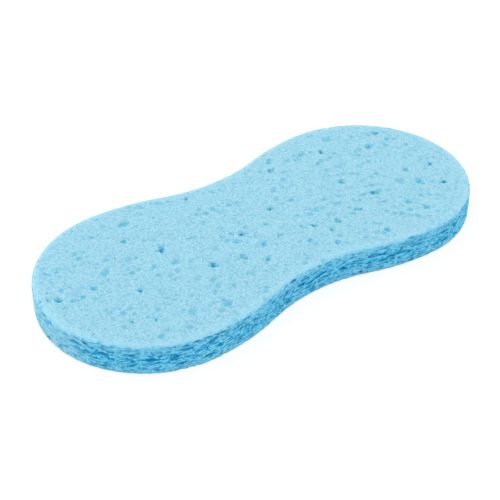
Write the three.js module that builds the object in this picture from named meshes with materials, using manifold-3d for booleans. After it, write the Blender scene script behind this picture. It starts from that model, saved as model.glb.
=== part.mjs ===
// A waisted cellulose sponge: one piece, cut with a shaped die from a flat slab of regenerated
// cellulose, so that it has two round lobes and a narrower grip between them. Salt crystals in the raw
// mass dissolve as the slab sets and leave coarse pores, which press flat as the slab is squeezed. The
// two faces and the wall cut through them, so they show as round hollows on the faces and as flat slits
// round the wall.
// Millimetres, +Z up, X along the length. The origin is the middle of the underside.

import Module from 'manifold-3d';
import * as THREE from 'three';
import { mergeVertices } from 'three/addons/utils/BufferGeometryUtils.js';

// Outline
const LENGTH = 220; // end to end
const LOBE_WIDTH = 100; // across each lobe, at its widest line
const LOBE_SPACING = 120; // from one lobe's widest line to the other's
const WAIST_WIDTH = 80; // across the grip
const BULGE_SHARE = 0.56; // how much of the curve from lobe to grip swells outwards before it turns hollow
const OUTLINE_STEP = 5; // longest facet along the outline

// Section
const THICKNESS = 15;
const EDGE_RADIUS = 2; // round of the upper and lower rims
const EDGE_STEPS = 3;

// Pores in the faces, each size from the smallest to the largest
const FACE_PORE_LENGTH = [2, 5];
const FACE_PORE_WIDTH = [1.7, 3.8];
const FACE_PORE_DEPTH = [0.5, 2.2];
const FACE_PORE_GAP = 2.5; // at least this much between neighbours
const FACE_PORE_TRIES = 0.0038; // places tried for each square millimetre of the blank
const TWIN_CHANCE = 0.35; // how many face pores run into a smaller one at their end
const TWIN_SIZE = 0.65; // the smaller one beside the larger

// Pores in the wall
const WALL_PORE_LENGTH = [3, 7.5];
const WALL_PORE_HEIGHT = [0.8, 1.6];
const WALL_PORE_DEPTH = [1, 2.2];
const WALL_PORE_GAP = 1.5;
const WALL_PORE_TRIES = 0.18; // places tried for each millimetre round the wall

const RIM_MARGIN = 0.5; // left whole between a pore and the rounded rim
const PORE_SIDES = 7; // facets round a pore
const PORE_RINGS = 4; // facets from one of its poles to the other
const PORE_SEED = 8;

const UP = new THREE.Vector3(0, 0, 1);

const wasm = await Module();
wasm.setup();

THREE.MathUtils.seededRandom(PORE_SEED);

function random(low, high) {
  return low + (high - low) * THREE.MathUtils.seededRandom();
}

// Half of the outline, from the right lobe's lower widest point round its end and over the grip to the
// left lobe's upper one: a half ellipse, then an arc that swells, the grip's hollow arc, and the first
// arc's mirror. Neighbours share their tangents.
function halfOutline() {
  const run = LOBE_SPACING / 2;
  const drop = (LOBE_WIDTH - WAIST_WIDTH) / 2;
  const turn = 2 * Math.atan2(drop, run);
  const radii = (run * run + drop * drop) / (2 * drop);
  const bulge = radii * BULGE_SHARE;
  const hollow = radii - bulge;
  const endReach = LENGTH / 2 - run;
  const quarter = Math.PI / 2;
  const bulgeY = LOBE_WIDTH / 2 - bulge;
  const hollowY = WAIST_WIDTH / 2 + hollow;
  return [
    new THREE.EllipseCurve(run, 0, endReach, LOBE_WIDTH / 2, -quarter, quarter),
    new THREE.EllipseCurve(run, bulgeY, bulge, bulge, quarter, quarter + turn),
    new THREE.EllipseCurve(0, hollowY, hollow, hollow, turn - quarter, -turn - quarter, true),
    new THREE.EllipseCurve(-run, bulgeY, bulge, bulge, quarter - turn, quarter),
  ];
}

// The whole outline, counterclockwise. Its second half is the first one turned half round.
function outlinePoints() {
  const half = halfOutline().flatMap((arc) => {
    const steps = 2 * Math.ceil(arc.getLength() / (2 * OUTLINE_STEP));
    return arc.getPoints(steps).slice(0, -1);
  });
  return [...half, ...half.map((point) => point.clone().negate())];
}

// How far inside the outline a point lies, or less than zero outside it.
function depthInside(point, outline) {
  let inside = false;
  let nearest = Infinity;
  outline.forEach((a, index) => {
    const b = outline[(index + 1) % outline.length];
    const crosses = a.y > point.y !== b.y > point.y;
    if (crosses && point.x < a.x + ((b.x - a.x) * (point.y - a.y)) / (b.y - a.y)) inside = !inside;
    nearest = Math.min(nearest, a.distanceTo(point));
  });
  return inside ? nearest : -nearest;
}

function toSolid(geometry) {
  const bare = geometry.clone();
  bare.deleteAttribute('normal');
  bare.deleteAttribute('uv');
  const merged = mergeVertices(bare);
  return new wasm.Manifold(
    new wasm.Mesh({
      numProp: 3,
      vertProperties: merged.getAttribute('position').array,
      triVerts: new Uint32Array(merged.index.array),
    }),
  );
}

function toGeometry(solid) {
  const { vertProperties, triVerts } = solid.getMesh();
  const geometry = new THREE.BufferGeometry();
  geometry.setAttribute('position', new THREE.BufferAttribute(vertProperties, 3));
  geometry.setIndex(new THREE.BufferAttribute(triVerts, 1));
  const faceted = geometry.toNonIndexed();
  faceted.computeVertexNormals();
  return faceted;
}

// The slab as the die leaves it, with both rims rounded.
function slab(outline) {
  const geometry = new THREE.ExtrudeGeometry(new THREE.Shape(outline), {
    depth: THICKNESS - 2 * EDGE_RADIUS,
    bevelThickness: EDGE_RADIUS,
    bevelSize: EDGE_RADIUS,
    bevelOffset: -EDGE_RADIUS,
    bevelSegments: EDGE_STEPS,
  });
  return geometry.translate(0, 0, EDGE_RADIUS);
}

// Pores at random places that keep clear of each other: a try that comes too near an earlier one is
// dropped. The flatter the pores, the nearer they may lie one above the other.
function scatter(tries, gap, flatness, makePore) {
  const kept = [];
  for (let count = 0; count < tries; count += 1) {
    const pore = makePore();
    const isClear = kept.every((other) => {
      const apart = other.centre.clone().sub(pore.centre);
      const distance = Math.hypot(apart.x, apart.y, apart.z * flatness);
      return distance > (other.length + pore.length) / 2 + gap;
    });
    if (isClear) kept.push(pore);
  }
  return kept;
}

// Pores that a face opens, clear of the rounded rim.
function facePores(faceZ, outline) {
  const tries = FACE_PORE_TRIES * LENGTH * LOBE_WIDTH;
  const pores = scatter(tries, FACE_PORE_GAP, 1, () => {
    const x = random(-LENGTH / 2, LENGTH / 2);
    const y = random(-LOBE_WIDTH / 2, LOBE_WIDTH / 2);
    const length = random(...FACE_PORE_LENGTH);
    return {
      centre: new THREE.Vector3(x, y, faceZ),
      length,
      width: Math.min(length, random(...FACE_PORE_WIDTH)),
      height: 2 * random(...FACE_PORE_DEPTH),
      turn: random(0, 2 * Math.PI),
    };
  });
  const rim = EDGE_RADIUS + RIM_MARGIN;
  return pores.filter((pore) => depthInside(pore.centre, outline) > rim + pore.length);
}

// A smaller pore that opens into the end of a larger one.
function twinOf(pore) {
  const toEnd = new THREE.Vector3(pore.length / 2, 0, 0).applyAxisAngle(UP, pore.turn);
  return {
    centre: pore.centre.clone().add(toEnd),
    length: pore.length * TWIN_SIZE,
    width: pore.width * TWIN_SIZE,
    height: pore.height * TWIN_SIZE,
    turn: pore.turn + random(0.5, 1.5),
  };
}

// Pores that the wall opens between its two rims, each lying along the wall.
function wallPores(outline) {
  const wall = new THREE.Shape(outline).closePath();
  const flatness = WALL_PORE_LENGTH[1] / WALL_PORE_HEIGHT[1];
  return scatter(WALL_PORE_TRIES * wall.getLength(), WALL_PORE_GAP, flatness, () => {
    const along = random(0, 1);
    const place = wall.getPointAt(along);
    const tangent = wall.getTangentAt(along);
    const height = random(...WALL_PORE_HEIGHT);
    const lowest = EDGE_RADIUS + RIM_MARGIN + height / 2;
    return {
      centre: new THREE.Vector3(place.x, place.y, random(lowest, THICKNESS - lowest)),
      length: random(...WALL_PORE_LENGTH),
      width: 2 * random(...WALL_PORE_DEPTH),
      height,
      turn: Math.atan2(tangent.y, tangent.x),
    };
  });
}

// The solid that cuts a pore: an ellipsoid centred on the surface, turned about the vertical.
function cutter(pore) {
  const geometry = new THREE.SphereGeometry(0.5, PORE_SIDES, PORE_RINGS);
  geometry.rotateX(Math.PI / 2);
  geometry.scale(pore.length, pore.width, pore.height);
  geometry.rotateZ(pore.turn);
  return geometry.translate(pore.centre.x, pore.centre.y, pore.centre.z);
}

const outline = outlinePoints();
const openFacePores = [...facePores(THICKNESS, outline), ...facePores(0, outline)];
const twins = openFacePores.filter(() => random(0, 1) < TWIN_CHANCE).map(twinOf);
const pores = [...openFacePores, ...twins, ...wallPores(outline)];
const body = pores.reduce(
  (solid, pore) => solid.subtract(toSolid(cutter(pore))),
  toSolid(slab(outline)),
);

const sponge = new THREE.Mesh(
  toGeometry(body),
  new THREE.MeshStandardMaterial({ color: 0x9fd8ee, roughness: 0.95, metalness: 0 }),
);
sponge.name = 'sponge';

const part = new THREE.Group();
part.add(sponge);

export default part;
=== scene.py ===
import math

import bmesh
import bpy
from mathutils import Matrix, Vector


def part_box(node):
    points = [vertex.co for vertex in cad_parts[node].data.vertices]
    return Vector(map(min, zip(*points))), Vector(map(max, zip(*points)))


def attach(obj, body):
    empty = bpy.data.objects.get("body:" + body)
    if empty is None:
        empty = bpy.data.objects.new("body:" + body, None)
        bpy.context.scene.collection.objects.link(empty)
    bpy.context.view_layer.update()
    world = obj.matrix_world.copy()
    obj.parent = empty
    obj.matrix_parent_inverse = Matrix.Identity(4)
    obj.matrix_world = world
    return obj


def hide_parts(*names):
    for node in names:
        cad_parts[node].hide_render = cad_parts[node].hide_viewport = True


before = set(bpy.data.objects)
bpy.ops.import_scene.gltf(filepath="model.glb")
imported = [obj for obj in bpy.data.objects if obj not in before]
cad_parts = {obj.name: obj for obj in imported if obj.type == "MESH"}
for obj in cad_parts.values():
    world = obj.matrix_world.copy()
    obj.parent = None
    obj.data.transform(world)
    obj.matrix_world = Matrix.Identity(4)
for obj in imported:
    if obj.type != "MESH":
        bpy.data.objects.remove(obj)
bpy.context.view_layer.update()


# ---------------------------------------------------------------------------------------------
# The sponge. One slab of regenerated cellulose, foamed round salt crystals that dissolve as it
# sets, pressed flat, and stamped out whole by a shaped die. Each face keeps a closed, felted skin
# with few open pores. The die's cut opens every flattened pore that it meets, as slits in the wall.
# ---------------------------------------------------------------------------------------------

MM = 0.001  # a millimetre, in metres

# Sizes in millimetres, read from the solid that the foam fills.
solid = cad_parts["sponge"]
low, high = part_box("sponge")
corners = [vertex.co for vertex in solid.data.vertices]
TOUCH = 0.01 * MM  # a corner this near a plane lies on it
THICKNESS = (high.z - low.z) / MM
LOBE_RADIUS = (high.y - low.y) / 2 / MM
LOBE_PLACE = (high.x - low.x) / 2 / MM - LOBE_RADIUS
GRIP_HALF = max(corner.y for corner in corners if abs(corner.x) < TOUCH) / MM
RIM_RADIUS = (high.x - max(corner.x for corner in corners if corner.z > high.z - TOUCH)) / MM

# From lobe to grip the outline swells outwards on one arc and turns hollow on the next.
SWELL_SHARE = 0.56
drop = LOBE_RADIUS - GRIP_HALF
both_radii = (LOBE_PLACE**2 + drop**2) / (2 * drop)
SWELL_RADIUS = both_radii * SWELL_SHARE
HOLLOW_RADIUS = both_radii - SWELL_RADIUS

# The foam is meshed on a grid of boxes, lower than they are wide because the pores lie flat. The
# grid runs past the slab by the margin, which is also the most that a box's depth can be.
BOX_WIDTH, BOX_HEIGHT = ((0.4, 0.26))
MARGIN = 1.5
MOST_TRIANGLES = 190_000

MATH = "ShaderNodeMath"
VECTOR = "ShaderNodeVectorMath"


def add_node(tree, kind, inputs=None, output=0, **settings):
    """Adds a node with its settings, joins or sets its inputs, and gives back one of its outputs.
    A Map Range's five are a value, the two ends that it runs between, and what it gives at each."""
    node = tree.nodes.new(kind)
    for name, value in settings.items():
        setattr(node, name, value)
    for key, value in (inputs or {}).items():
        if isinstance(value, bpy.types.NodeSocket):
            tree.links.new(value, node.inputs[key])
        else:
            node.inputs[key].default_value = value
    return node.outputs[output] if len(node.outputs) else node


def linear(colour):
    """Linear red, green, blue and alpha of an sRGB hex colour."""
    parts = [int(colour[start : start + 2], 16) / 255 for start in (1, 3, 5)]
    return (*[part / 12.92 if part <= 0.04045 else ((part + 0.055) / 1.055) ** 2.4 for part in parts], 1)


def pressed_skin(look, mm, grain):
    """Colour of the skin that the press leaves on the faces: pale and grained, with mottles over hidden
    pores, large ones 4.2 mm apart and small ones 1.9 mm."""
    skin = add_node(look, "ShaderNodeValToRGB", {0: grain}).node
    dark, pale = skin.color_ramp.elements
    dark.position, dark.color = 0.415, linear("#8ac8de")
    pale.position, pale.color = 0.565, linear("#addef1")
    skin = skin.outputs[0]

    # A mottle's edge is ragged and fades out. Each size has its spacing in millimetres, its edge as a
    # share of that, and the share of the places for it that stay bare.
    rag_size, rag_swing, fade = 1.4, 3.0, 0.13
    stir = {"Vector": mm, "Scale": 1 / rag_size, "Detail": 4.0, "Roughness": 0.7}
    stir = add_node(look, "ShaderNodeTexNoise", stir, output="Color")
    stir = add_node(look, VECTOR, {0: stir, 1: (0.5, 0.5, 0.5)}, operation="SUBTRACT")
    stir = add_node(look, VECTOR, {0: stir, "Scale": rag_swing}, operation="SCALE")
    stir = add_node(look, VECTOR, {0: stir, 1: mm}, operation="ADD")
    for spacing, edge, bare in ((4.2, 0.38, 0.4), (1.9, 0.40, 0.5)):
        cell = add_node(look, "ShaderNodeTexVoronoi", {"Vector": stir, "Scale": 1 / spacing}).node.outputs
        pick = add_node(look, "ShaderNodeSeparateColor", {0: cell["Color"]})
        spot = {0: cell["Distance"], 1: edge, 2: edge - fade, 3: 0.0, 4: 1.0}
        spot = add_node(look, "ShaderNodeMapRange", spot)
        some = add_node(look, "ShaderNodeMapRange", {0: pick, 1: bare, 2: 1.0, 3: 0.0, 4: 1.0})
        spot = add_node(look, MATH, {0: spot, 1: some}, operation="MULTIPLY")
        blend = {"Factor": spot, 6: skin, 7: linear("#72bfda")}
        skin = add_node(look, "ShaderNodeMix", blend, output=2, data_type="RGBA")
    return skin


def torn_layers(look, mm):
    """Colour of the cut, painted a deeper blue than the skin as painted shade, and the noise of its torn
    cell walls, about 0.65 mm apart up the wall and pressed to 1.8 mm long. The darker streaks between
    them, 3.4 mm long, are painted shade in small flat pores."""
    layer_length, layer_height = 1.8, 0.65
    layer = (1 / layer_length, 1 / layer_length, 1 / layer_height)
    layer = add_node(look, VECTOR, {0: mm, 1: layer}, operation="MULTIPLY")
    layer = {"Vector": layer, "Scale": 1.0, "Detail": 3.0, "Roughness": 0.75}
    layer = add_node(look, "ShaderNodeTexNoise", layer)
    # The cut's deeper blue, which is painted shade, grained by its torn cell walls.
    films = add_node(look, "ShaderNodeValToRGB", {0: layer}).node
    dark, pale = films.color_ramp.elements
    dark.position, dark.color = 0.38, linear("#1c9bd0")
    pale.position, pale.color = 0.60, linear("#82dcf9")
    middle = films.color_ramp.elements.new(0.48)
    middle.color = linear("#6acdf0")
    films = films.outputs[0]

    # Painted shade: darker streaks where small flat pores lie in the wall.
    streak_length, streak_height = 3.4, 0.75
    streak = (1 / streak_length, 1 / streak_length, 1 / streak_height)
    streak = add_node(look, VECTOR, {0: mm, 1: streak}, operation="MULTIPLY")
    streak = add_node(look, "ShaderNodeTexNoise", {"Vector": streak, "Scale": 1.0, "Detail": 2.0})
    streak = add_node(look, "ShaderNodeMapRange", {0: streak, 1: 0.55, 2: 0.61, 3: 0.0, 4: 0.9})
    blend = {"Factor": streak, 6: films, 7: linear("#1a92c8")}
    films = add_node(look, "ShaderNodeMix", blend, output=2, data_type="RGBA")
    return films, layer


def painted_pore_shade(look, colour, stages):
    """The colour with painted shade down a pore, which turns it deeper the deeper a point lies. Each
    stage is a depth, where it starts and ends in millimetres, and the colour at its end."""
    for depth, start, end, deeper in stages:
        blend = add_node(look, "ShaderNodeMapRange", {0: depth, 1: start, 2: end, 3: 0.0, 4: 1.0})
        blend = {"Factor": blend, 6: colour, 7: linear(deeper)}
        colour = add_node(look, "ShaderNodeMix", blend, output=2, data_type="RGBA")
    return colour


def dyed_cellulose():
    """Viscose foam dyed through in the mass, cast, pressed and cut. It is matt all over and light
    sinks a little way into it. The pressed skin is pale and felted, mottled where a pore lies just
    under it, and painted paler along the top edge as a painted highlight. The cut is grained by cell
    walls seen edge on and painted a deeper blue than the skin, as painted shade. The open pores are
    painted deeper still, as painted shade, because light reaches the eye from them through several walls."""
    material = bpy.data.materials.new("dyed cellulose foam")
    material.use_nodes = True
    look = material.node_tree
    look.nodes.clear()
    place = add_node(look, "ShaderNodeTexCoord", output="Object")
    mm = add_node(look, VECTOR, {0: place, "Scale": 1 / MM}, operation="SCALE")
    cut = add_node(look, "ShaderNodeAttribute", output="Fac", attribute_name="cut")
    rim = add_node(look, "ShaderNodeAttribute", output="Fac", attribute_name="rim")
    depth = add_node(look, "ShaderNodeAttribute", output="Fac", attribute_name="pore depth")

    # Torn films of cellulose, about 1.3 mm across, hang in the open pores and catch the light. A noise
    # of that size scales the depth that the painted shade follows, so a pore is painted shallower there
    # and deeper between them.
    film_size = 1.3
    torn = {"Vector": mm, "Scale": 1 / film_size, "Detail": 3.0, "Roughness": 0.7}
    torn = add_node(look, "ShaderNodeTexNoise", torn)
    torn = add_node(look, "ShaderNodeMapRange", {0: torn, 1: 0.42, 2: 0.58, 3: 1.5, 4: 0.4})
    torn = add_node(look, MATH, {0: depth, 1: torn}, operation="MULTIPLY")

    # The skin's grain: real cells are 0.1 to 0.3 mm, drawn at 0.7 mm so that they show. Along the
    # top edge the skin is painted paler, a painted highlight where the rounded edge catches the light.
    grain_size = 0.7
    grain = {"Vector": mm, "Scale": 1 / grain_size, "Detail": 3.0, "Roughness": 0.75}
    grain = add_node(look, "ShaderNodeTexNoise", grain)
    skin = pressed_skin(look, mm, grain)
    blend = {"Factor": rim, 6: skin, 7: linear("#b4e8f8")}
    skin = add_node(look, "ShaderNodeMix", blend, output=2, data_type="RGBA")
    # Painted shade down the open pores: the skin and the cut turn deeper the deeper a point lies below
    # the slab's surface.
    skin = painted_pore_shade(look, skin, ((depth, 0.1, 0.8, "#86d3ea"), (torn, 0.7, 2.3, "#22b4d6")))
    films, layer = torn_layers(look, mm)
    films = painted_pore_shade(look, films, ((torn, 0.1, 0.5, "#1e9fd2"), (torn, 0.5, 1.6, "#12a8dc")))
    blend = {"Factor": cut, 6: skin, 7: films}
    colour = add_node(look, "ShaderNodeMix", blend, output=2, data_type="RGBA")

    # Relief too fine for the mesh: open cells on the skin, torn layers on the cut.
    cell_size, relief_height = 0.9, 0.3
    cells = add_node(look, "ShaderNodeTexVoronoi", {"Vector": mm, "Scale": 1 / cell_size})
    relief = add_node(look, "ShaderNodeMix", {"Factor": cut, 2: cells, 3: layer})
    bump = {"Strength": 0.35, "Distance": relief_height * MM, "Height": relief}
    bump = add_node(look, "ShaderNodeBump", bump)
    rough = add_node(look, "ShaderNodeMapRange", {0: grain, 1: 0.3, 2: 0.7, 3: 0.97, 4: 0.86})
    matt = {
        "Base Color": colour,
        "Roughness": rough,
        "Normal": bump,
        "Specular IOR Level": 0.1,
        "Subsurface Weight": 0.7,
        "Subsurface Radius": (0.35, 0.8, 1.0),
        "Subsurface Scale": 1.6 * MM,
        "Sheen Weight": 0.12,
        "Sheen Roughness": 0.3,
        "Sheen Tint": (0.85, 0.97, 1, 1),
    }
    shader = add_node(look, "ShaderNodeBsdfPrincipled", matt)
    add_node(look, "ShaderNodeOutputMaterial", {"Surface": shader})
    return material


def new_tree(name, inputs, outputs):
    """An empty node tree with its named inputs and outputs, and the nodes that carry them."""
    tree = bpy.data.node_groups.new(name, "GeometryNodeTree")
    for label, kind in inputs.items():
        tree.interface.new_socket(label, in_out="INPUT", socket_type="NodeSocket" + kind)
    for label, kind in outputs.items():
        tree.interface.new_socket(label, in_out="OUTPUT", socket_type="NodeSocket" + kind)
    given = tree.nodes.new("NodeGroupInput").outputs
    result = tree.nodes.new("NodeGroupOutput").inputs
    return tree, given, result


# The slab's sizes, which both trees below take, and the kind of value that each is.
SLAB_SIZES = {
    "Lobe radius": "Float",
    "Lobe centre": "Vector",
    "Swell radius": "Float",
    "Swell centre": "Vector",
    "Hollow radius": "Float",
    "Hollow centre": "Vector",
    "Thickness": "Float",
    "Rim radius": "Float",
}


def slab_tree():
    """Where a point lies in the stamped slab: how far outside the wall, the nearer face and the
    whole rounded slab, and the direction straight out through the wall."""
    tree, given, result = new_tree(
        "stamped slab",
        {"Place": "Vector", **SLAB_SIZES},
        {"Outside wall": "Float", "Outside face": "Float", "Outside slab": "Float", "Outwards": "Vector"},
    )
    place = given["Place"]

    # One quarter of the outline stands for all four: a lobe's arc, then the swell and the hollow.
    quarter = add_node(tree, VECTOR, {0: place}, operation="ABSOLUTE")
    quarter = add_node(tree, VECTOR, {0: quarter, 1: (1, 1, 0)}, operation="MULTIPLY")
    from_hollow = add_node(tree, VECTOR, {0: quarter, 1: given["Hollow centre"]}, operation="SUBTRACT")
    join = {0: given["Swell centre"], 1: given["Hollow centre"]}
    join = add_node(tree, VECTOR, join, operation="SUBTRACT")
    side = add_node(tree, VECTOR, {0: from_hollow, 1: join}, operation="CROSS_PRODUCT")
    side = add_node(tree, "ShaderNodeSeparateXYZ", {0: side}, output="Z")
    in_hollow = add_node(tree, MATH, {0: side, 1: 0.0}, operation="GREATER_THAN")
    along = add_node(tree, "ShaderNodeSeparateXYZ", {0: quarter}, output="X")
    lobe_line = add_node(tree, "ShaderNodeSeparateXYZ", {0: given["Lobe centre"]}, output="X")
    in_lobe = add_node(tree, MATH, {0: along, 1: lobe_line}, operation="GREATER_THAN")
    inwards = add_node(tree, MATH, {0: given["Hollow radius"], 1: -1.0}, operation="MULTIPLY")
    radius = {0: in_hollow, 1: given["Swell radius"], 2: inwards}
    radius = add_node(tree, "GeometryNodeSwitch", radius, input_type="FLOAT")
    radius = {0: in_lobe, 1: radius, 2: given["Lobe radius"]}
    radius = add_node(tree, "GeometryNodeSwitch", radius, input_type="FLOAT")
    centre = {0: in_hollow, 1: given["Swell centre"], 2: given["Hollow centre"]}
    centre = add_node(tree, "GeometryNodeSwitch", centre, input_type="VECTOR")
    centre = {0: in_lobe, 1: centre, 2: given["Lobe centre"]}
    centre = add_node(tree, "GeometryNodeSwitch", centre, input_type="VECTOR")
    spoke = add_node(tree, VECTOR, {0: quarter, 1: centre}, operation="SUBTRACT")
    sense = add_node(tree, MATH, {0: radius}, operation="SIGN")
    reach = add_node(tree, VECTOR, {0: spoke}, output="Value", operation="LENGTH")
    reach = add_node(tree, MATH, {0: reach, 1: sense}, operation="MULTIPLY")
    wall = add_node(tree, MATH, {0: reach, 1: radius}, operation="SUBTRACT")
    outwards = add_node(tree, VECTOR, {0: spoke}, operation="NORMALIZE")
    corner = add_node(tree, VECTOR, {0: place}, operation="SIGN")
    outwards = add_node(tree, VECTOR, {0: outwards, 1: corner}, operation="MULTIPLY")

    # The nearer face, and the round that joins it to the wall.
    half = add_node(tree, MATH, {0: given["Thickness"], 1: 2.0}, operation="DIVIDE")
    level = add_node(tree, "ShaderNodeSeparateXYZ", {0: place}, output="Z")
    level = add_node(tree, MATH, {0: level, 1: half}, operation="SUBTRACT")
    level = add_node(tree, MATH, {0: level}, operation="ABSOLUTE")
    face = add_node(tree, MATH, {0: level, 1: half}, operation="SUBTRACT")
    past_wall = add_node(tree, MATH, {0: wall, 1: given["Rim radius"]}, operation="ADD")
    past_face = add_node(tree, MATH, {0: face, 1: given["Rim radius"]}, operation="ADD")
    past_both = add_node(tree, "ShaderNodeCombineXYZ", {0: past_wall, 1: past_face})
    past_both = add_node(tree, VECTOR, {0: past_both, 1: (0, 0, 0)}, operation="MAXIMUM")
    past_both = add_node(tree, VECTOR, {0: past_both}, output="Value", operation="LENGTH")
    short = add_node(tree, MATH, {0: past_wall, 1: past_face}, operation="MAXIMUM")
    short = add_node(tree, MATH, {0: short, 1: 0.0}, operation="MINIMUM")
    slab = add_node(tree, MATH, {0: past_both, 1: short}, operation="ADD")
    slab = add_node(tree, MATH, {0: slab, 1: given["Rim radius"]}, operation="SUBTRACT")
    for label, value in (("wall", wall), ("face", face), ("slab", slab)):
        tree.links.new(value, result["Outside " + label])
    tree.links.new(outwards, result["Outwards"])
    return tree


def slit_tree():
    """How far a point lies outside the nearest pore of one size, of those that stand open."""
    tree, given, result = new_tree(
        "flattened pores",
        {"Place": "Vector", "Length": "Float", "Height": "Float", "Share": "Float", "Seed": "Float"},
        {"Outside pore": "Float"},
    )
    size = {0: given["Length"], 1: given["Length"], 2: given["Height"]}
    size = add_node(tree, "ShaderNodeCombineXYZ", size)
    place = add_node(tree, VECTOR, {0: given["Place"], 1: size}, operation="DIVIDE")
    seed = add_node(tree, "ShaderNodeCombineXYZ", {0: given["Seed"], 1: given["Seed"], 2: given["Seed"]})
    place = add_node(tree, VECTOR, {0: place, 1: seed}, operation="ADD")
    cell = add_node(tree, "ShaderNodeTexVoronoi", {"Vector": place, "Scale": 1.0}).node.outputs
    pick = add_node(tree, "ShaderNodeSeparateXYZ", {0: cell["Color"]}).node.outputs
    is_open = add_node(tree, MATH, {0: pick[0], 1: given["Share"]}, operation="LESS_THAN")
    least, most = 0.22, 0.5  # half a pore's size, as a share of its cell
    spread = add_node(tree, "ShaderNodeMapRange", {0: pick[1], 1: 0.0, 2: 1.0, 3: least, 4: most})
    spread = add_node(tree, MATH, {0: spread, 1: is_open}, operation="MULTIPLY")
    outside = add_node(tree, MATH, {0: cell["Distance"], 1: spread}, operation="SUBTRACT")
    outside = add_node(tree, MATH, {0: outside, 1: given["Height"]}, operation="MULTIPLY")
    tree.links.new(outside, result["Outside pore"])
    return tree


def ragged(tree, place, outwards, near_wall):
    """A noise about nought, and the place that it moves a point to, which leaves every lip ragged.
    Near the wall it slides points along the wall, and a tenth of its push in or out is left."""
    noise_size, swing, held_back = 1.4, (4.0, 4.0, 0.6), 0.9
    wobble = {"Vector": place, "Scale": 1 / noise_size, "Detail": 2.0, "Roughness": 0.6}
    wobble = add_node(tree, "ShaderNodeTexNoise", wobble, output="Color")
    wobble = add_node(tree, VECTOR, {0: wobble, 1: (0.5, 0.5, 0.5)}, operation="SUBTRACT")
    warp = add_node(tree, VECTOR, {0: wobble, 1: swing}, operation="MULTIPLY")
    push = add_node(tree, VECTOR, {0: warp, 1: outwards}, output="Value", operation="DOT_PRODUCT")
    push = add_node(tree, MATH, {0: push, 1: near_wall}, operation="MULTIPLY")
    push = add_node(tree, MATH, {0: push, 1: held_back}, operation="MULTIPLY")
    push = add_node(tree, VECTOR, {0: outwards, "Scale": push}, operation="SCALE")
    warp = add_node(tree, VECTOR, {0: warp, 1: push}, operation="SUBTRACT")
    return wobble, add_node(tree, VECTOR, {0: place, 1: warp}, operation="ADD")


def cut_shares(tree, wobble, below_face, outwards, near_wall):
    """How much a point belongs to the cut, and how much to its part where pores stand open. The skin's
    edge wanders with the noise. From 1.5 to 6.5 mm below the nearer face the cut's painted shade grows
    by up to 0.2 more, so the painted shade on the wall is deepest halfway down."""
    wander = 1.2
    lift = add_node(tree, "ShaderNodeSeparateXYZ", {0: wobble}, output="X")
    lift = add_node(tree, MATH, {0: lift, 1: wander}, operation="MULTIPLY")
    below_skin = add_node(tree, MATH, {0: below_face, 1: lift}, operation="ADD")
    off_skin = {0: below_skin, 1: 0.3, 2: 1.5, 3: 0.0, 4: 0.8}
    off_skin = add_node(tree, "ShaderNodeMapRange", off_skin, interpolation_type="SMOOTHSTEP")
    # Painted shade: the cut deepens by up to 0.2 more from 1.5 to 6.5 mm below the nearer face.
    painted_wall_shade = add_node(tree, "ShaderNodeMapRange", {0: below_skin, 1: 1.5, 2: 6.5, 3: 0.0, 4: 0.2})
    off_skin = add_node(tree, MATH, {0: off_skin, 1: painted_wall_shade}, operation="ADD")
    off_rim = {0: below_skin, 1: 0.8, 2: 1.7, 3: 0.0, 4: 1.0}
    off_rim = add_node(tree, "ShaderNodeMapRange", off_rim, interpolation_type="SMOOTHSTEP")

    # Painted light at the two ends: where the wall faces along the slab, the cut's painted shade drops
    # to 0.45 of its strength, so the wall is painted paler there.
    painted_end_light = add_node(tree, "ShaderNodeSeparateXYZ", {0: outwards}, output="X")
    painted_end_light = add_node(tree, MATH, {0: painted_end_light}, operation="ABSOLUTE")
    painted_end_light = {0: painted_end_light, 1: 0.85, 2: 1.0, 3: 1.0, 4: 0.45}
    painted_end_light = add_node(tree, "ShaderNodeMapRange", painted_end_light, interpolation_type="SMOOTHSTEP")
    cut = add_node(tree, MATH, {0: off_skin, 1: near_wall}, operation="MULTIPLY")
    cut = add_node(tree, MATH, {0: cut, 1: painted_end_light}, operation="MULTIPLY")
    return cut, add_node(tree, MATH, {0: off_rim, 1: near_wall}, operation="MULTIPLY")


def depth_in_solid(tree, body, source):
    """How far below the surface of the solid and its coarse pores a point lies, negative in the air."""
    near = {"Geometry": body, "Sample Position": source}
    near = add_node(tree, "GeometryNodeProximity", near, target_element="FACES").node.outputs
    facing = {0: add_node(tree, "GeometryNodeInputNormal")}
    facing = add_node(tree, "GeometryNodeFieldOnDomain", facing, domain="POINT", data_type="FLOAT_VECTOR")
    facing = {"Mesh": body, "Value": facing, "Sample Position": source}
    facing = add_node(tree, "GeometryNodeSampleNearestSurface", facing, data_type="FLOAT_VECTOR")
    away = add_node(tree, VECTOR, {0: source, 1: near["Position"]}, operation="SUBTRACT")
    side = add_node(tree, VECTOR, {0: away, 1: facing}, output="Value", operation="DOT_PRODUCT")
    side = add_node(tree, MATH, {0: side}, operation="SIGN")
    inside = add_node(tree, MATH, {0: near["Distance"], 1: side}, operation="MULTIPLY")
    return add_node(tree, MATH, {0: inside, 1: -1 / MM}, operation="MULTIPLY")


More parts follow.
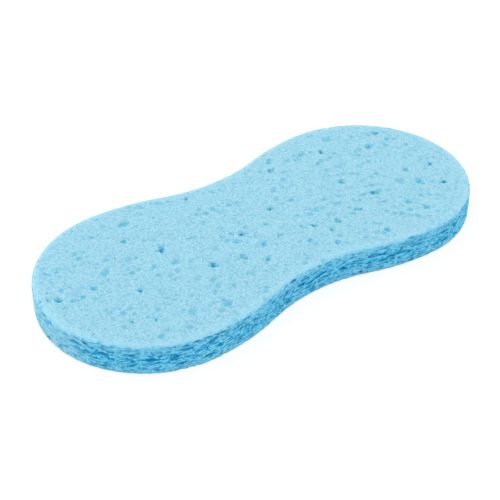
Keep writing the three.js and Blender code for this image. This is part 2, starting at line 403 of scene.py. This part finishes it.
def lip_drop(tree, given, source, depth, in_skin):
    """How far the skin turns down at the lips of the coarse pores, near the face only. The pores' walls
    are the one part of the solid's surface that lies deep."""
    deep = 0.15
    walls = add_node(tree, MATH, {0: depth, 1: deep}, operation="GREATER_THAN")
    walls = {"Geometry": given["Geometry"], "Selection": walls}
    walls = add_node(tree, "GeometryNodeSeparateGeometry", walls, domain="FACE")
    near = {"Geometry": walls, "Sample Position": source}
    near = add_node(tree, "GeometryNodeProximity", near, output="Distance", target_element="FACES")
    near = add_node(tree, MATH, {0: near, 1: 1 / MM}, operation="MULTIPLY")
    lip = {0: near, 1: 0.0, 2: given["Lip width"], 3: given["Lip drop"], 4: 0.0}
    lip = add_node(tree, "ShaderNodeMapRange", lip, interpolation_type="SMOOTHSTEP")
    shallow = add_node(tree, "ShaderNodeMapRange", {0: depth, 1: 0.4, 2: 1.2, 3: 1.0, 4: 0.0})
    lip = add_node(tree, MATH, {0: lip, 1: shallow}, operation="MULTIPLY")
    return add_node(tree, MATH, {0: lip, 1: in_skin}, operation="MULTIPLY")


def dimple_sag(tree, given, place, wobble, in_skin):
    """How far the skin sags in a soft dimple, where a pore lies just under it. One place in three for
    a dimple has none."""
    swing = 4.0
    stray = add_node(tree, VECTOR, {0: wobble, "Scale": swing}, operation="SCALE")
    stray = add_node(tree, VECTOR, {0: place, 1: stray}, operation="ADD")
    spacing = add_node(tree, "ShaderNodeCombineXYZ", {i: given["Dimple width"] for i in range(3)})
    stray = add_node(tree, VECTOR, {0: stray, 1: spacing}, operation="DIVIDE")
    cell = add_node(tree, "ShaderNodeTexVoronoi", {"Vector": stray, "Scale": 1.0}).node.outputs
    pick = add_node(tree, "ShaderNodeSeparateXYZ", {0: cell["Color"]})
    bowl = {0: cell["Distance"], 1: 0.15, 2: 0.5, 3: 1.0, 4: 0.0}
    bowl = add_node(tree, "ShaderNodeMapRange", bowl, interpolation_type="SMOOTHSTEP")
    sag = add_node(tree, "ShaderNodeMapRange", {0: pick, 1: 0.35, 2: 1.0, 3: 0.0, 4: given["Dimple sag"]})
    sag = add_node(tree, MATH, {0: sag, 1: bowl}, operation="MULTIPLY")
    return add_node(tree, MATH, {0: sag, 1: in_skin}, operation="MULTIPLY")


def with_slits(tree, given, foam, depth, place, wobble, in_cut):
    """The depth of the foam once the cut has opened its flattened pores, in beds that rise and fall.
    Each size has its own share that stands open, and closes between two depths, the small one sooner."""
    bed_size, bed_swing = 5.0, (3.0, 3.0, 2.2)
    bend = {"Vector": place, "Scale": 1 / bed_size, "Detail": 1.0}
    bend = add_node(tree, "ShaderNodeTexNoise", bend, output="Color")
    bend = add_node(tree, VECTOR, {0: bend, 1: (0.5, 0.5, 0.5)}, operation="SUBTRACT")
    bend = add_node(tree, VECTOR, {0: bend, 1: bed_swing}, operation="MULTIPLY")
    bedded = add_node(tree, VECTOR, {0: place, 1: bend}, operation="ADD")
    bedded = add_node(tree, VECTOR, {0: bedded, 1: wobble}, operation="ADD")
    slits = slit_tree()
    shut_by, lip_round = 1.5, 0.2
    for label, share, floor, end in (("Slit", 0.42, 1.1, 2.0), ("Fine slit", 0.5, 0.5, 1.1)):
        pore = {
            "Place": bedded,
            "Length": given[label + " length"],
            "Height": given[label + " height"],
            "Share": add_node(tree, MATH, {0: in_cut, 1: share}, operation="MULTIPLY"),
            "Seed": given["Seed"],
        }
        pore = add_node(tree, "GeometryNodeGroup", pore, node_tree=slits)
        shut = add_node(tree, "ShaderNodeMapRange", {0: depth, 1: floor, 2: end, 3: 0.0, 4: shut_by})
        pore = add_node(tree, MATH, {0: pore, 1: shut}, operation="ADD")
        foam = add_node(tree, MATH, {0: foam, 1: pore, 2: lip_round}, operation="SMOOTH_MIN")
    return foam


def skinned(tree, given, foam):
    """The closed skin where the foam's depth is nought, worked out on the grid. A pore shut up inside
    is never seen, so only the skin that joins the outside stays."""
    foam = add_node(tree, "ShaderNodeClamp", {0: foam, 1: -MARGIN, 2: MARGIN})
    span = add_node(tree, VECTOR, {0: given["Grid high"], 1: given["Grid low"]}, operation="SUBTRACT")
    steps = add_node(tree, VECTOR, {0: span, 1: given["Grid step"]}, operation="DIVIDE")
    steps = add_node(tree, "ShaderNodeSeparateXYZ", {0: steps}).node.outputs
    grid = {
        "Density": foam,
        "Background": -MARGIN,
        "Min": add_node(tree, VECTOR, {0: given["Grid low"], "Scale": MM}, operation="SCALE"),
        "Max": add_node(tree, VECTOR, {0: given["Grid high"], "Scale": MM}, operation="SCALE"),
        "Resolution X": steps["X"],
        "Resolution Y": steps["Y"],
        "Resolution Z": steps["Z"],
    }
    grid = add_node(tree, "GeometryNodeVolumeCube", grid)
    skin = {"Volume": grid, "Threshold": 0.0}
    skin = add_node(tree, "GeometryNodeVolumeToMesh", skin, resolution_mode="GRID")
    island = add_node(tree, "GeometryNodeInputMeshIsland", output="Island Index")
    size = {"Value": 1, "Group ID": island}
    size = add_node(tree, "GeometryNodeAccumulateField", size, output="Total", data_type="INT")
    largest = {"Geometry": skin, 2: size}
    largest = add_node(tree, "GeometryNodeAttributeStatistic", largest, output="Max", data_type="FLOAT")
    smaller = {0: size, 1: largest}
    smaller = add_node(tree, "FunctionNodeCompare", smaller, data_type="FLOAT", operation="LESS_THAN")
    skin = {"Geometry": skin, "Selection": smaller}
    return add_node(tree, "GeometryNodeDeleteGeometry", skin, domain="POINT")


def foam_tree():
    """The foam itself, as one closed skin over everything that is cellulose. Every grid box gets a
    depth: positive in cellulose, negative in air and pores. The skin lies where the depth is nought."""
    pore_sizes = {
        "Slit length": "Float",
        "Slit height": "Float",
        "Fine slit length": "Float",
        "Fine slit height": "Float",
        "Lip width": "Float",
        "Lip drop": "Float",
        "Dimple width": "Float",
        "Dimple sag": "Float",
        "Seed": "Float",
    }
    grid_sizes = {"Grid low": "Vector", "Grid high": "Vector", "Grid step": "Vector"}
    tree, given, result = new_tree(
        "cellulose foam",
        {"Geometry": "Geometry", **SLAB_SIZES, **pore_sizes, **grid_sizes, "Material": "Material"},
        {"Geometry": "Geometry"},
    )
    place = add_node(tree, "GeometryNodeInputPosition")
    place = add_node(tree, VECTOR, {0: place, "Scale": 1 / MM}, operation="SCALE")
    slab = {"Place": place, **{label: given[label] for label in SLAB_SIZES}}
    slab = add_node(tree, "GeometryNodeGroup", slab, node_tree=slab_tree()).node.outputs
    below_wall = add_node(tree, MATH, {0: slab["Outside wall"], 1: -1.0}, operation="MULTIPLY")
    below_face = add_node(tree, MATH, {0: slab["Outside face"], 1: -1.0}, operation="MULTIPLY")
    depth = add_node(tree, MATH, {0: slab["Outside slab"], 1: -1.0}, operation="MULTIPLY")

    # The cut is what lies within 3 mm of the wall, and gives way to the skin over the next 1.5 mm.
    near_wall = {0: below_wall, 1: 4.5, 2: 3.0, 3: 0.0, 4: 1.0}
    near_wall = add_node(tree, "ShaderNodeMapRange", near_wall, interpolation_type="SMOOTHSTEP")
    # Painted highlight: within 1.5 mm of the wall the skin is painted up to 0.4 of the way paler, fading
    # out by 5 mm in.
    rim = add_node(tree, "ShaderNodeMapRange", {0: below_wall, 1: 5.0, 2: 1.5, 3: 0.0, 4: 0.4})
    wobble, warped = ragged(tree, place, slab["Outwards"], near_wall)
    cut, in_cut = cut_shares(tree, wobble, below_face, slab["Outwards"], near_wall)
    in_skin = add_node(tree, MATH, {0: 1.0, 1: cut}, operation="SUBTRACT")

    # The solid with its coarse pores comes first, and the rest is taken away from it.
    source = add_node(tree, VECTOR, {0: warped, "Scale": MM}, operation="SCALE")
    foam = depth_in_solid(tree, given["Geometry"], source)
    lip = lip_drop(tree, given, source, depth, in_skin)
    foam = add_node(tree, MATH, {0: foam, 1: lip}, operation="SUBTRACT")
    foam = with_slits(tree, given, foam, depth, place, wobble, in_cut)
    sag = dimple_sag(tree, given, place, wobble, in_skin)
    foam = add_node(tree, MATH, {0: foam, 1: sag}, operation="SUBTRACT")

    # The skin carries what the material needs to know of each point.
    skin = skinned(tree, given, foam)
    for label, value in (("pore depth", depth), ("cut", cut), ("rim", rim)):
        skin = {"Geometry": skin, "Name": label, "Value": value}
        skin = add_node(tree, "GeometryNodeStoreNamedAttribute", skin, data_type="FLOAT", domain="POINT")
    skin = add_node(tree, "GeometryNodeRealizeInstances", {"Geometry": skin})
    skin = add_node(tree, "GeometryNodeSetMaterial", {"Geometry": skin, "Material": given["Material"]})
    tree.links.new(skin, result["Geometry"])
    return tree


def settle(piece):
    """Makes what the modifiers give the piece's own mesh, and takes them off."""
    graph = bpy.context.evaluated_depsgraph_get()
    made = bpy.data.meshes.new_from_object(piece.evaluated_get(graph))
    piece.modifiers.clear()
    piece.data = made


# The solid's own mesh is left alone: the foam starts from a merged copy.
sponge = bpy.data.objects.new("cellulose_sponge", solid.data.copy())
bpy.context.scene.collection.objects.link(sponge)
shell = bmesh.new()
shell.from_mesh(sponge.data)
bmesh.ops.remove_doubles(shell, verts=shell.verts, dist=0.0001 * MM)
shell.to_mesh(sponge.data)
shell.free()

reach = Vector((LOBE_PLACE + LOBE_RADIUS + MARGIN, LOBE_RADIUS + MARGIN, MARGIN))
sizes = {
    "Lobe radius": LOBE_RADIUS,
    "Lobe centre": (LOBE_PLACE, 0, 0),
    "Swell radius": SWELL_RADIUS,
    "Swell centre": (LOBE_PLACE, LOBE_RADIUS - SWELL_RADIUS, 0),
    "Hollow radius": HOLLOW_RADIUS,
    "Hollow centre": (0, GRIP_HALF + HOLLOW_RADIUS, 0),
    "Thickness": THICKNESS,
    "Rim radius": RIM_RADIUS,
    "Slit length": 5.0,
    "Slit height": 1.35,
    "Fine slit length": 2.8,
    "Fine slit height": 0.85,
    "Lip width": 0.9,
    "Lip drop": 0.5,
    "Dimple width": 4.0,
    "Dimple sag": 0.5,
    "Seed": 3.0,
    "Grid low": -reach,
    "Grid high": reach + Vector((0, 0, THICKNESS)),
    "Grid step": (BOX_WIDTH, BOX_WIDTH, BOX_HEIGHT),
    "Material": dyed_cellulose(),
}
foam = sponge.modifiers.new("foam", "NODES")
foam.node_group = foam_tree()
for item in foam.node_group.interface.items_tree:
    if item.in_out == "INPUT" and item.name in sizes:
        foam[item.identifier] = sizes[item.name]
settle(sponge)

thinned = sponge.modifiers.new("thinned", "DECIMATE")
triangles = sum(len(face.vertices) - 2 for face in sponge.data.polygons)
thinned.ratio = min(1, MOST_TRIANGLES / triangles)
settle(sponge)
sponge.data.shade_smooth()
sponge.data.materials.pop(index=0)  # the empty slot that meshing a volume leaves before the foam's own

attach(sponge, "root")
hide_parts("sponge")


# ---------------------------------------------------------------------------------------------
# The paper sweep. Matt white paper, rolled out flat under the sponge and far past it, so that it
# runs into the white air behind and only a faint contact shadow shows.
# ---------------------------------------------------------------------------------------------

# The skin of the foam reaches nearly as far below the slab as the paper lies. To the light that it
# throws back, the paper is one grey. To the eye it is a darker one that glows, so that it stays white
# right out to the air and still shows the shadow.
SWEEP_SIDE = 6
SWEEP_DROP = 0.2 * MM
PAPER_LIGHT, PAPER_SEEN, PAPER_GLOW = 0.68, 0.22, 0.84


def seen_straight(tree):
    """One for a ray from the camera, also by way of a mirror or through glass, and nought for others."""
    ray = add_node(tree, "ShaderNodeLightPath").node.outputs
    seen = add_node(tree, MATH, {0: ray["Is Camera Ray"], 1: ray["Is Glossy Ray"]}, operation="MAXIMUM")
    return add_node(tree, MATH, {0: seen, 1: ray["Is Transmission Ray"]}, operation="MAXIMUM")


bpy.ops.mesh.primitive_plane_add(size=SWEEP_SIDE)
sweep = bpy.context.object
sweep.name = "paper_sweep"
sweep.location.z = -SWEEP_DROP
paper = bpy.data.materials.new("matt white paper")
paper.use_nodes = True
sheet = paper.node_tree
sheet.nodes.clear()
lighting = add_node(sheet, "ShaderNodeBsdfDiffuse", {"Color": (PAPER_LIGHT,) * 3 + (1,)})
shaded = add_node(sheet, "ShaderNodeBsdfDiffuse", {"Color": (PAPER_SEEN,) * 3 + (1,)})
glow = add_node(sheet, "ShaderNodeEmission", {"Color": (1, 1, 1, 1), "Strength": PAPER_GLOW})
shown = add_node(sheet, "ShaderNodeAddShader", {0: shaded, 1: glow})
surface = add_node(sheet, "ShaderNodeMixShader", {0: seen_straight(sheet), 1: lighting, 2: shown})
add_node(sheet, "ShaderNodeOutputMaterial", {"Surface": surface})
sweep.data.materials.append(paper)


# ---------------------------------------------------------------------------------------------
# The light. White air, brighter low down than overhead so that the wall is lit as well as the
# face, and one large soft box high behind.
# ---------------------------------------------------------------------------------------------

# Brightness at the horizon and straight up, then the soft box in metres and watts.
AIR_LOW, AIR_HIGH = 1.6, 0.46
SOFT_BOX_SIDE, SOFT_BOX_WATTS = 1.4, 8.5
SOFT_BOX_PLACE = (-0.3, 0.8, 1.6)

world = bpy.data.worlds.new("white studio air")
bpy.context.scene.world = world
world.use_nodes = True
air = world.node_tree
air.nodes.clear()
way = add_node(air, "ShaderNodeTexCoord", output="Generated")
height = add_node(air, "ShaderNodeSeparateXYZ", {0: way}, output="Z")
power = add_node(air, "ShaderNodeMapRange", {0: height, 1: 0.0, 2: 1.0, 3: AIR_LOW, 4: AIR_HIGH})
dome = add_node(air, "ShaderNodeBackground", {"Color": (1, 1, 1, 1), "Strength": power})
white = add_node(air, "ShaderNodeBackground", {"Color": (1, 1, 1, 1), "Strength": 1.0})
light = add_node(air, "ShaderNodeMixShader", {0: seen_straight(air), 1: dome, 2: white})
add_node(air, "ShaderNodeOutputWorld", {"Surface": light})

box_light = bpy.data.lights.new("soft_box", "AREA")
box_light.size = SOFT_BOX_SIDE
box_light.energy = SOFT_BOX_WATTS
soft_box = bpy.data.objects.new("soft_box", box_light)
bpy.context.scene.collection.objects.link(soft_box)
soft_box.location = SOFT_BOX_PLACE
soft_box.rotation_mode = "QUATERNION"
soft_box.rotation_quaternion = soft_box.location.to_track_quat("Z", "Y")


# ---------------------------------------------------------------------------------------------
# The camera. Above the left lobe's front, looking down along the sponge, with a long lens.
# ---------------------------------------------------------------------------------------------

# Where it looks from and at, in metres, and the lens in millimetres.
AZIMUTH, ELEVATION = math.radians(-36.78), math.radians(36.47)
AIM = Vector((-0.0056, 0.00206, 0))
DISTANCE = 0.5346
LENS = 84.67

level = math.cos(ELEVATION)
back = Vector((math.sin(AZIMUTH) * level, -math.cos(AZIMUTH) * level, math.sin(ELEVATION)))
lens = bpy.data.cameras.new("camera")
lens.lens = LENS
lens.clip_start, lens.clip_end = 0.01, 20
camera = bpy.data.objects.new("camera", lens)
bpy.context.scene.collection.objects.link(camera)
camera.location = AIM + back * DISTANCE
camera.rotation_mode = "QUATERNION"
camera.rotation_quaternion = back.to_track_quat("Z", "Y")
bpy.context.scene.camera = camera
bpy.context.scene.view_settings.view_transform = "Standard"
